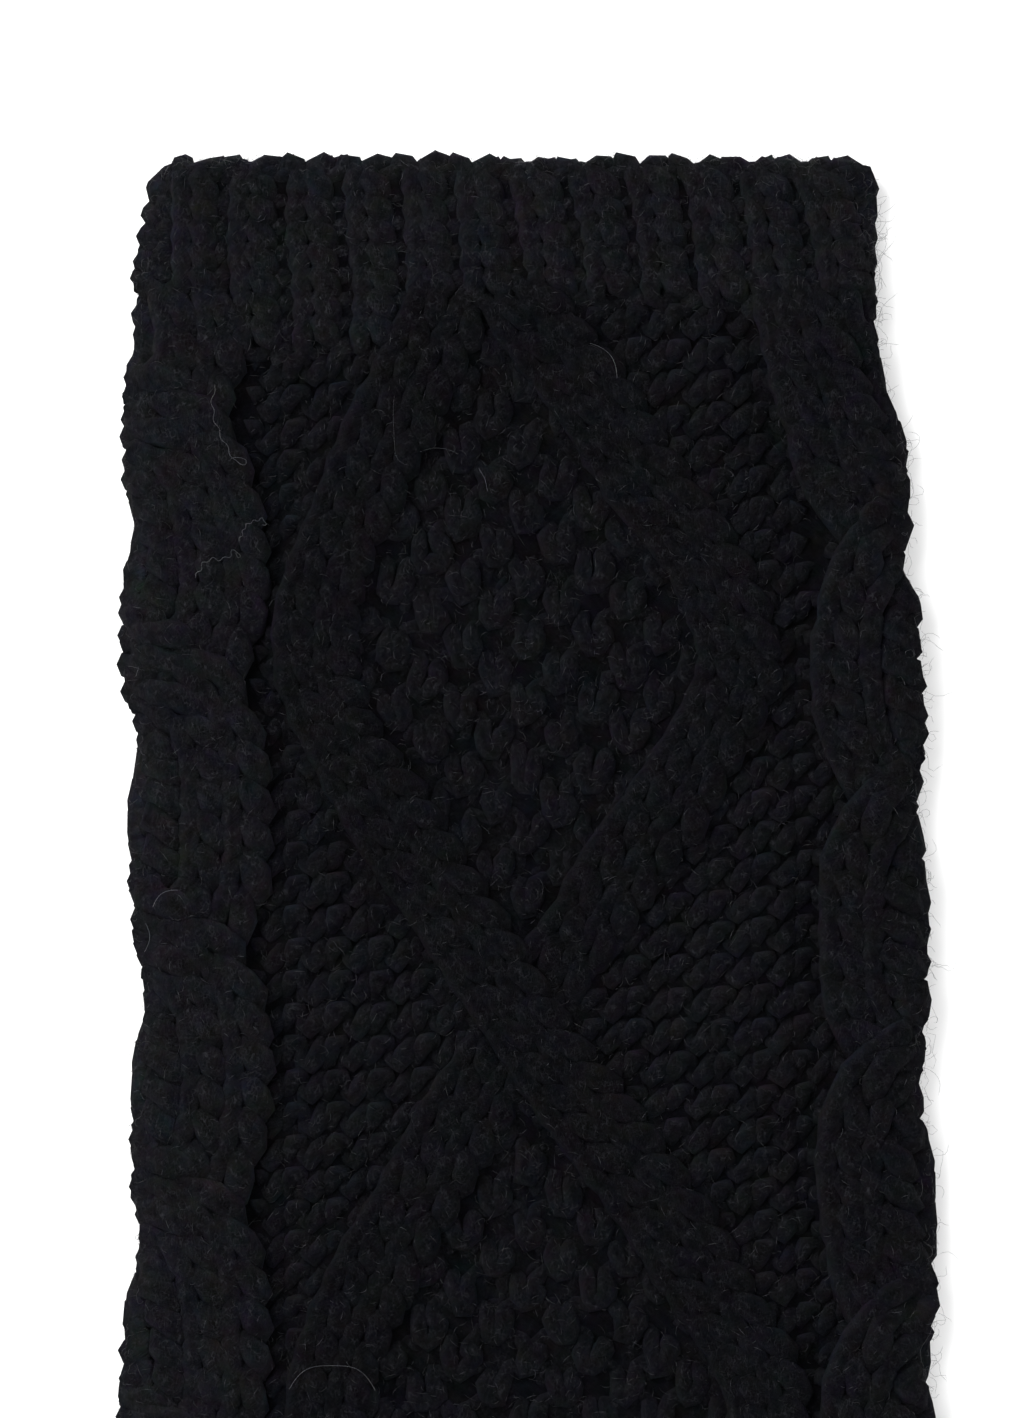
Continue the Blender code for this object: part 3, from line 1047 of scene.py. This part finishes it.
@dataclass
class RibbedCuff(Knitting):
    """A cuff of single rib, knitted round, and its cast-on or bound-off edge."""

    name: str = "upper_cuff"
    end: float = 1.0
    ribs: int = 25
    first_rib: float = -0.0460
    cuff_rows: int = 5
    spread: float = 0.55
    rib_depth: float = 0.00075
    rib_lift: float = 0.0002
    flatness: float = 0.9
    fold_calm: float = 0.6
    seam_start: float = 0.49
    seam_run: float = 0.01
    yarn: float = 0.00155
    edge_inset: float = 0.0024
    edge_yarn: float = 0.00125
    edge_turns: int = 28
    edge_samples: int = 12
    edge_sway: float = 0.0006
    edge_rise: float = 0.0009
    extra_rows: int = 0
    extra_ribs: tuple = (1, 3)
    seed: int = 91

    def knit(self) -> YarnMesh:
        """Return the cuff's yarn.

        The courses run round the tube. On the upper cuff some ribs run on for a row or two into the body.
        """
        mesh = YarnMesh(f"{self.name}_knitting")
        inner = self.body_end()
        outer = self.tube.length / 2.0 - self.edge_inset
        pitch = (outer - inner) / self.cuff_rows
        rib = (Stitch.KNIT.value, Stitch.PURL.value)
        y = self.end * (inner + pitch * (np.arange(self.cuff_rows) + 0.5))
        self.lay_ribs(mesh, np.tile(rib, self.ribs), 0, y, pitch, closed=True)
        if self.extra_rows:
            first, last = self.extra_ribs
            y = self.end * (inner - pitch * (np.arange(self.extra_rows) + 0.5))
            self.lay_ribs(mesh, np.tile(rib, last - first + 1)[:-1], 2 * first, y, pitch, closed=False)
        self.lay_edge(mesh, self.end * outer)
        return mesh

    def lay_ribs(self, mesh: YarnMesh, faces: Array, first: int, row_y: Array, pitch: float,
                 closed: bool) -> None:
        """Lay courses of ribbing.

        A rib is a knit wale that spreads over the purl wale beside it: its place round the tube is
        (u + spread / pi * sin pi u) / 2 of a rib, and it stands out by a cosine of pi u.

        Args:
            mesh: where the yarn is kept.
            faces: 1 or -1 for each stitch of a course.
            first: the number of the first stitch, counted round the tube.
            row_y: y of each course.
            pitch: the distance between courses.
            closed: whether the courses run all the way round.
        """
        across, along, out, thick = self.loops.course(faces, closed=closed)
        across = across + first
        y = row_y[:, None] + along[None] * pitch
        place = (across + self.spread / np.pi * np.sin(np.pi * across)) / 2.0 / self.ribs
        arc = self.tube.arc_of(np.full(y.shape, self.first_rib), y) + place[None] * self.tube.round(y)
        seam = smooth_step((np.abs(place - 0.5) - self.seam_start) / self.seam_run)
        calm = 1.0 - self.fold_calm * np.abs(self.tube.place(arc, y, 0.0)[1][..., 0])
        stand = self.rib_depth * np.cos(np.pi * across)[None]
        rise = out[None] * self.flatness * calm + stand * self.tube.exposure(arc, y) + self.rib_lift
        path, up = self.tube.place(*self.uneven(arc, y, 1.0 - seam), rise)
        mesh.sweep(path, up, self.yarn * thick, closed=closed)

    def lay_edge(self, mesh: YarnMesh, edge: float) -> None:
        """Lay the two yarns that twist round each other along the edge, as a pair of helices.

        Args:
            mesh: where the yarn is kept.
            edge: y of the edge.
        """
        count = self.edge_turns * self.edge_samples
        share = np.arange(count) / count
        arc = share * self.tube.round(np.full(count, edge))
        for phase in (0.0, math.pi):
            twist = FULL_TURN * self.edge_turns * share + phase
            path, up = self.tube.place(arc, edge + self.end * self.edge_sway * np.sin(twist),
                                       self.edge_rise * np.cos(twist))
            mesh.sweep(path[None], up[None], self.edge_yarn, closed=True)


@dataclass
class Outline:
    """The knitting's height and outline seen from above, on square cells, read from its yarn.

    Top is the highest point in each cell, mean_top its mean over the covered cells near by, inside the share
    of covered cells around, and out the way out of the outline, against the gradient of inside.
    """

    meshes: list[YarnMesh]
    cell: float = 0.0008
    margin: int = 8
    reach: int = 3
    near: int = 2
    low: Array = field(init=False)
    top: Array = field(init=False)
    mean_top: Array = field(init=False)
    inside: Array = field(init=False)
    out: Array = field(init=False)

    def __post_init__(self) -> None:
        """Read the cells from the yarn's points."""
        points = gather(self.meshes, "points")
        self.low = points[:, :2].min(axis=0) - self.margin * self.cell
        size = np.ceil((points[:, :2].max(axis=0) - self.low) / self.cell).astype(int) + self.margin
        self.top = np.zeros(size)
        np.maximum.at(self.top, self.cells(points), points[:, 2])
        cover = (self.top > 0.0).astype(float)
        self.mean_top = self.blur(self.top, self.near) / np.maximum(self.blur(cover, self.near), LEAST_COVER)
        self.inside = self.blur(cover, self.reach)
        out_x, out_y = np.gradient(-self.inside)
        self.out = np.stack((out_x, out_y), axis=-1) / (np.hypot(out_x, out_y) + LEAST_LENGTH)[..., None]

    def blur(self, values: Array, reach: int) -> Array:
        """Work out the mean of the cells' values over a square round each.

        Args:
            values: the cells' values.
            reach: how many cells the square reaches each way.

        Returns:
            The means.
        """
        total = np.zeros(values.shape)
        for over in range(-reach, reach + 1):
            for along in range(-reach, reach + 1):
                total += np.roll(values, (over, along), axis=(0, 1))
        return total / (2 * reach + 1) ** 2

    def cells(self, points: Array) -> tuple[Array, Array]:
        """Return the column and row of the cell that each point lies in."""
        place = ((points[..., :2] - self.low) / self.cell).astype(int)
        return place[..., 0], place[..., 1]

    def highest(self, points: Array) -> float:
        """Return the greatest height of the knitting within a cell of any of the points."""
        column, row = self.cells(points[:, None, None])
        beside = np.arange(-1, 2)
        return float(self.top[column + beside[:, None], row + beside].max())


@dataclass
class Cloth:
    """The dense inside of the knitting, a thin tube under the loops that closes the gaps between them.

    Its outer wall follows the knitting's height, blurred and lowered, so it lies a little below the loops. It
    is higher by open_rise where the ground lies open.
    """

    ground: Ground
    material: Material
    columns: int = 120
    outer_rings: int = 160
    inner_rings: int = 20
    below: float = 0.0003
    open_rise: float = 0.0004
    strand: float = 0.0015
    least: float = -0.0004
    wall: float = 0.0006
    margin: float = 0.0015

    def build(self, view: Outline) -> Piece:
        """Make the tube as one closed grid, out along the outer wall and back along the inner one.

        Args:
            view: the knitting from above.

        Returns:
            The piece.
        """
        tube = self.ground.tube
        end = tube.length / 2.0 - self.margin
        outer = np.linspace(-end, end, self.outer_rings)
        y = np.concatenate((outer, np.linspace(end, -end, self.inner_rings)))[:, None]
        arc = tube.round(y) * np.arange(self.columns)[None] / self.columns
        middle, normals = tube.place(arc, y, 0.0)
        height = view.mean_top[view.cells(middle)] - self.below - middle[..., 2]
        height += self.open_rise * self.ground.openness(middle[..., 0], y)
        out = self.least + np.maximum(height - self.least, 0.0) * smooth_step(normals[..., 2])
        out[self.outer_rings:] = self.least - self.wall
        points, _ = tube.place(arc, y, out)
        near = np.arange(arc.size).reshape(arc.shape)
        far = np.roll(near, -1, axis=0)
        quads = np.stack((near, np.roll(near, -1, axis=1), np.roll(far, -1, axis=1), far), axis=-1)
        piece = mesh_object("cloth", points.reshape(-1, 3), quads.reshape(-1, 4), self.material)
        turn = arc / self.strand
        keep_rounds(piece, np.stack((np.cos(turn), np.sin(turn), np.broadcast_to(y, arc.shape)), axis=-1))
        return piece


def hairs(name: str, path: Array, material: Material, radius: Array) -> Piece:
    """Make loose fibres: three-sided tubes with pointed ends along paths.

    Args:
        name: the piece's name.
        path: the paths' points: paths, points and coordinates.
        material: the finish.
        radius: the tubes' radius, one for all or one for each path.

    Returns:
        The new object.
    """
    path[..., 2] = np.maximum(path[..., 2], radius.max() + FLOOR_CLEARANCE)
    count, steps = path.shape[:2]
    way = unit(np.gradient(path, axis=1)[:, 1:-1])
    angle = FULL_TURN * np.arange(3) / 3.0 + math.pi / 2.0
    tube = path[:, 1:-1, None] + radius * circles(way, (0.0, 0.0, 1.0), angle, LEAST_LENGTH)
    points = np.concatenate((tube.reshape(count, -1, 3), path[:, :1], path[:, -1:]), axis=1)
    number = np.arange(points.size // 3).reshape(count, -1)
    ring = number[:, :-2].reshape(count, steps - 2, 3)
    root, tip = (np.broadcast_to(number[:, end, None], (count, 3)) for end in (-2, -1))
    first = np.stack((root, ring[:, 0], np.roll(ring[:, 0], -1, axis=1)), axis=-1)
    last = np.stack((tip, np.roll(ring[:, -1], -1, axis=1), ring[:, -1]), axis=-1)
    triangles = np.concatenate((first, last)).reshape(-1, 3)
    return mesh_object(name, points.reshape(-1, 3), walls(ring), material, triangles)


@dataclass
class Fuzz:
    """The loose fibres of the yarn: short ones lying on it all over, and curls that stand off its outline.

    A fibre's heading turns steadily and with a wave as it goes, so it is an arc, a hook or a loop, and its
    height rises and falls as a sine. Fibres are thick in tufts: their chance is a base plus the square of a
    wander, where that is above 0.
    """

    face_count: int = 16500
    face_base: float = 0.12
    face_tuft: float = 0.004
    face_depth: float = 0.0005
    face_up: float = 0.3
    back_count: int = 3500
    back_height: float = 0.002
    back_up: float = -0.1
    curl_count: int = 2900
    curl_base: float = 0.15
    curl_tuft: float = 0.009
    curl_inside: float = 0.80
    curl_up: float = -0.6
    curl_out: float = 0.2
    fibre_points: int = 4
    lengths: tuple = (0.0007, 0.0026)
    heights: tuple = (0.00005, 0.0006)
    height_power: float = 0.8
    heading_spread: float = 0.8
    turn_spread: float = 1.6
    lift: float = 0.00015
    radius: float = 0.000018
    curl_points: int = 8
    curl_left: float = 0.45
    curl_length: tuple = (2.2, 0.0011)
    curl_least: float = 0.0006
    curl_most: float = 0.0085
    curl_spread: float = 0.75
    curl_turn: tuple = (2.0, 1.3)
    curl_turn_length: float = 0.004
    wave_sizes: tuple = (0.2, 0.9)
    wave_rates: tuple = (4.0, 12.0)
    curl_rise: float = 0.0006
    seed: int = 7

    def build(self, view: Outline, material: Material) -> list[Piece]:
        """Make the fibres on the knitting that shows.

        Args:
            view: the knitting from above.
            material: the fibres' finish.

        Returns:
            The pieces: the fibres on the face and on the back, and the curls along the outline.
        """
        draw = np.random.default_rng(self.seed)
        points, outward, ways = (gather(view.meshes, kind) for kind in ("points", "outward", "ways"))
        height, up = points[:, 2], outward[:, 2]
        cells = view.cells(points)
        shows = np.flatnonzero((height > view.top[cells] - self.face_depth) & (up > self.face_up))
        tuft = (self.seed + 1, self.face_tuft)
        chosen = self.choose(draw, points, shows, self.face_count, self.face_base, tuft)
        face = self.surface_paths(draw, points[chosen], outward[chosen], ways[chosen])
        below = np.flatnonzero((height < self.back_height) & (up < self.back_up))
        chosen = draw.choice(below, self.back_count, replace=False)
        back = self.surface_paths(draw, points[chosen], outward[chosen], ways[chosen])
        out = view.out[cells]
        rim = (view.inside[cells] < self.curl_inside) & (up > self.curl_up)
        rim = np.flatnonzero(rim & (np.sum(outward[:, :2] * out, axis=1) > self.curl_out))
        tuft = (self.seed, self.curl_tuft)
        chosen = self.choose(draw, points, rim, self.curl_count, self.curl_base, tuft)
        curls = self.curl_paths(draw, points[chosen], out[chosen])
        paths = {"face_fibres": face, "back_fibres": back, "outline_fibres": curls}
        return [hairs(name, path, material, np.array(self.radius)) for name, path in paths.items()]

    def choose(self, draw: Chance, points: Array, some: Array, count: int, base: float, tuft: tuple) -> Array:
        """Return the numbers of a count of some points, thick in tufts of a seed and size."""
        tufts = base + np.maximum(wander(points[some, 0], points[some, 1], *tuft), 0.0) ** 2
        return draw.choice(some, count, replace=False, p=tufts / tufts.sum())

    def surface_paths(self, draw: Chance, roots: Array, outward: Array, ways: Array) -> Array:
        """Return the ways of the fibres that lie on the yarn, each near the yarn's own way.

        Args:
            draw: the source of chance.
            roots: where the fibres start.
            outward: the way out of the yarn there.
            ways: the yarn's way there.

        Returns:
            The fibres' points.
        """
        count = len(roots)
        share = np.linspace(0.0, 1.0, self.fibre_points)[None]
        length = draw.uniform(*self.lengths, (count, 1))
        heading = np.arctan2(ways[:, 1], ways[:, 0]) + draw.normal(0.0, self.heading_spread, count)
        heading = heading + np.pi * draw.integers(0, 2, count)
        turn = draw.normal(0.0, self.turn_spread, (count, 1))
        height = draw.uniform(*self.heights, (count, 1)) * np.sin(np.pi * share ** self.height_power)
        path = self.walk(roots, heading[:, None] + turn * share, length)
        path += outward[:, None] * height[..., None]
        path[..., 2] += self.lift * np.sin(np.pi * share)
        return path

    def curl_paths(self, draw: Chance, roots: Array, out: Array) -> Array:
        """Return the ways of the curls that stand off the outline, longest on the right.

        Args:
            draw: the source of chance.
            roots: where they start.
            out: the way out of the outline there, in the plane.

        Returns:
            The curls' points.
        """
        count = len(roots)
        share = np.linspace(0.0, 1.0, self.curl_points)[None]
        side = self.curl_left + (1.0 - self.curl_left) * np.clip(out[:, 0], 0.0, 1.0)
        length = (side * draw.gamma(*self.curl_length, count) + self.curl_least)[:, None]
        length = np.minimum(length, self.curl_most)
        heading = np.arctan2(out[:, 1], out[:, 0]) + draw.normal(0.0, self.curl_spread, count)
        turn = draw.choice((-1.0, 1.0), (count, 1)) * draw.gamma(*self.curl_turn, (count, 1))
        turn = turn * (0.5 + length / self.curl_turn_length)
        wave = draw.uniform(*self.wave_sizes, (count, 1))
        wave = wave * np.sin(draw.uniform(*self.wave_rates, (count, 1)) * share)
        path = self.walk(roots, heading[:, None] + turn * share + wave, length)
        path[..., 2] += draw.normal(0.0, self.curl_rise, (count, 1)) * share
        return path

    def walk(self, roots: Array, angle: Array, length: Array) -> Array:
        """Return level paths that start at the roots and take equal steps at the given angles.

        Args:
            roots: the starts.
            angle: the heading at each point, one row for each path.
            length: the length of each path.

        Returns:
            The paths' points.
        """
        step = length / (angle.shape[1] - 1)
        run = np.stack((np.cos(angle), np.sin(angle), np.zeros_like(angle)), axis=-1) * step[..., None]
        run[:, 0] = 0.0
        return roots[:, None] + np.cumsum(run, axis=1)


@dataclass(frozen=True)
class Stray:
    """A pale hair that has settled on the knitting.

    It starts at x, y with a heading, turns steadily by its bend, wiggles by a sine, turns by its hook over
    its last stretch and is kinked all along by a quicker sine. Angles are in radians, counted from +X towards
    +Y. Fine is its share of the usual thickness.
    """

    x: float
    y: float
    heading: float
    length: float
    bend: float = 0.0
    wiggle: float = 0.1
    waves: float = 1.0
    hook: float = 0.0
    kink: float = 0.0
    fine: float = 1.0


@dataclass
class Lint:
    """The few pale stray hairs that lie on the knitting."""

    above: float = 0.00012
    radius: float = 0.000021
    points: int = 48
    hook_share: float = 0.3
    kinks: float = 6.0
    strays: tuple = (
        Stray(-0.0428, 0.1379, -2.00, 0.0165, bend=0.7, wiggle=0.55, waves=0.5, hook=5.2, kink=0.45),
        Stray(-0.0459, 0.1107, 0.55, 0.0112, wiggle=0.60, waves=1.6, hook=-4.2, kink=0.8),
        Stray(-0.0398, 0.1158, 0.75, 0.0076, wiggle=0.50, waves=1.2, hook=-4.0, kink=0.8),
        Stray(-0.0183, 0.1363, -1.72, 0.0108, bend=0.4, wiggle=0.05, hook=1.1, fine=0.45),
        Stray(-0.0150, 0.1282, 0.40, 0.0056, bend=-0.9, wiggle=0.05, fine=0.40),
        Stray(-0.0068, 0.1262, -1.20, 0.0035, wiggle=0.20),
        Stray(0.0083, 0.1432, -0.25, 0.0068, bend=-1.3),
        Stray(-0.0515, 0.0657, 1.25, 0.0046, bend=-1.3),
        Stray(-0.0526, 0.0636, -1.10, 0.0042, bend=-1.0),
        Stray(-0.0330, -0.0008, 1.05, 0.0150, bend=-2.1, wiggle=0.15, waves=2.0),
    )

    def build(self, view: Outline, material: Material) -> Piece:
        """Return the hairs as one piece, each on the highest of the yarn near its way.

        Args:
            view: the knitting from above.
            material: the hairs' finish.

        Returns:
            The piece.
        """
        share = np.linspace(0.0, 1.0, self.points)
        paths = np.zeros((len(self.strays), self.points, 3))
        for path, stray in zip(paths, self.strays):
            angle = stray.heading + stray.bend * share
            angle = angle + stray.wiggle * np.sin(FULL_TURN * stray.waves * share)
            angle = angle + stray.hook * smooth_step((share - 1.0 + self.hook_share) / self.hook_share)
            angle = angle + stray.kink * np.sin(FULL_TURN * self.kinks * share)
            step = stray.length / (self.points - 1)
            path[:, 0] = stray.x + step * np.cumsum(np.cos(angle))
            path[:, 1] = stray.y + step * np.cumsum(np.sin(angle))
            path[:, 2] = view.highest(path) + self.above
        radius = self.radius * np.array([stray.fine for stray in self.strays])
        return hairs("stray_hairs", paths, material, radius[:, None, None, None])


@dataclass(frozen=True)
class Lamp:
    """A square soft light: its place, its size in metres and its power in watts."""

    name: str
    place: tuple
    size: float
    power: float


@dataclass
class Studio:
    """A white floor, soft light from all round and a little from the upper left, and the camera overhead."""

    pixel: float = 0.0001375
    image: tuple = (1024, 1418)
    middle_pixel: tuple = (528.0, 156.0)
    top: float = 0.169
    distance: float = 1.2
    knit_height: float = 0.009
    sensor: float = 36.0
    clip: tuple = (0.05, 10.0)
    floor_half: float = 1.5
    floor_white: tuple = (0.92, 0.92, 0.92)
    sky: float = 1.05
    aim: tuple = (0.0, 0.09, 0.0)
    lamps: tuple = (Lamp("key", (-0.60, 0.50, 0.9), 0.7, 19.0), Lamp("fill", (0.7, -0.4, 0.9), 0.9, 4.0))

    def build(self) -> None:
        """Make the floor, the lights, the world and the camera."""
        self.floor()
        for lamp in self.lamps:
            self.light(lamp)
        world = bpy.data.worlds.new("studio")
        bpy.context.scene.world = world
        world.use_nodes = True
        backdrop = world.node_tree.nodes["Background"]
        backdrop.inputs["Color"].default_value = (1.0, 1.0, 1.0, 1.0)
        backdrop.inputs["Strength"].default_value = self.sky
        bpy.context.scene.view_settings.view_transform = "Standard"
        self.camera()

    def floor(self) -> None:
        """Make the floor, a wide level sheet just under the arm warmer."""
        corners = np.array([(-1.0, -1.0, 0.0), (1.0, -1.0, 0.0), (1.0, 1.0, 0.0), (-1.0, 1.0, 0.0)])
        nodes = NodeMaker.start("white_floor", roughness=1.0, gloss=0.0)
        nodes.feed(nodes.shader, {"Base Color": (*self.floor_white, 1.0)})
        mesh_object("floor", corners * self.floor_half, np.array([[0, 1, 2, 3]]), nodes.material)

    def light(self, lamp: Lamp) -> None:
        """Add a lamp that is turned towards the aim.

        Args:
            lamp: the lamp.
        """
        data = bpy.data.lights.new(lamp.name, "AREA")
        data.size = lamp.size
        data.energy = lamp.power
        item = bpy.data.objects.new(lamp.name, data)
        item.location = lamp.place
        x, y, z = np.array(self.aim) - np.array(lamp.place)
        item.rotation_euler = (math.atan2(math.hypot(x, y), -z), 0.0, math.atan2(x, -y) + math.pi)
        bpy.context.scene.collection.objects.link(item)

    def camera(self) -> None:
        """Place the camera straight above the middle of the photograph's frame, with a long lens."""
        lens = bpy.data.cameras.new("camera")
        item = bpy.data.objects.new("camera", lens)
        bpy.context.scene.collection.objects.link(item)
        bpy.context.scene.camera = item
        x = (self.image[0] / 2.0 - self.middle_pixel[0]) * self.pixel
        y = self.top - (self.image[1] / 2.0 - self.middle_pixel[1]) * self.pixel
        item.location = (x, y, self.knit_height + self.distance)
        lens.sensor_width = self.sensor
        lens.lens = self.sensor * self.distance / (self.image[1] * self.pixel)
        lens.clip_start, lens.clip_end = self.clip


def report(piece: Piece, *nodes: str) -> None:
    """Tie a finished piece to the frame and log it.

    Args:
        piece: the piece.
        nodes: the CAD nodes that it stands for, if any.
    """
    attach(piece, ROOT)
    if nodes:
        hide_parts(*nodes)
    LOG.info("%s: %d faces", piece.name, len(piece.data.polygons))


def main() -> None:
    """Build the arm warmer, its cloth and the studio."""
    logging.basicConfig(level=logging.INFO, format="%(message)s")
    tube = Tube()
    ground = Ground(tube)
    # The same wool in a lit copy and in copies painted darker as shade: this lit one is for the cuffs, the
    # left rope and the back.
    yarn = YarnFinish().build()
    # painted shade: the same wool darker, for the purl ground, moss and right rope, which the light from the
    # upper left reaches less
    shaded = YarnFinish(name="black_wool_painted_shade", dark=(0.0006, 0.0006, 0.0008),
                        light=(0.0029, 0.0029, 0.0039), painted_glint=(0.0190, 0.0194, 0.0226)).build()
    # painted deeper shade: the same wool darker still, for the diamond cable in the middle of the face
    deeper_shaded = YarnFinish(name="black_wool_painted_deeper_shade", dark=(0.0005, 0.0005, 0.0007),
                        light=(0.0023, 0.0023, 0.0030), painted_glint=(0.0170, 0.0174, 0.0204)).build()
    # painted shade: the felt that shows in the gaps between loops is the same wool painted darker, without
    # the painted lighter sides
    felt = YarnFinish(name="black_wool_felt_painted_shade", dark=(0.0006, 0.0006, 0.0008), rim=0.0,
                      light=(0.0030, 0.0030, 0.0039), painted_glint=(0.0150, 0.0153, 0.0180)).build()
    knitting = [
        RibbedCuff(tube, extra_rows=2).knit(),
        RibbedCuff(tube, name="lower_cuff", end=-1.0, seed=111).knit(),
        *ground.knit(),
        RopeCable(tube).knit(),
        RopeCable(tube, side=Side.RIGHT, crossing=0.1165, notches=RIGHT_NOTCHES, top_draw=0.0009,
                  seed=41).knit(),
        DiamondCable(tube).knit(),
        Back(tube).knit(),
    ]
    view = Outline(knitting)
    cloth = Cloth(ground, felt).build(view)
    # the purl ground, moss and right rope take the painted shade, and the diamond takes the deeper painted
    # shade
    finishes = {"purl_ground": shaded, "moss_stitch": shaded, "right_rope_cable": shaded,
                "diamond_cable": deeper_shaded}
    pieces = [mesh.dress(finishes.get(mesh.name, yarn)) for mesh in knitting]
    pieces += Fuzz().build(view, FibreFinish().build())
    pale = FibreFinish(name="pale_fibre", dark=(0.06, 0.06, 0.07), light=(0.16, 0.16, 0.17))
    pieces.append(Lint().build(view, pale.build()))
    report(cloth, "upper_cuff", "body", "lower_cuff")
    for piece in pieces:
        report(piece)
    round_middle = float(tube.round(np.array(0.0)))
    Studio().build()


if __name__ == "__main__":
    main()
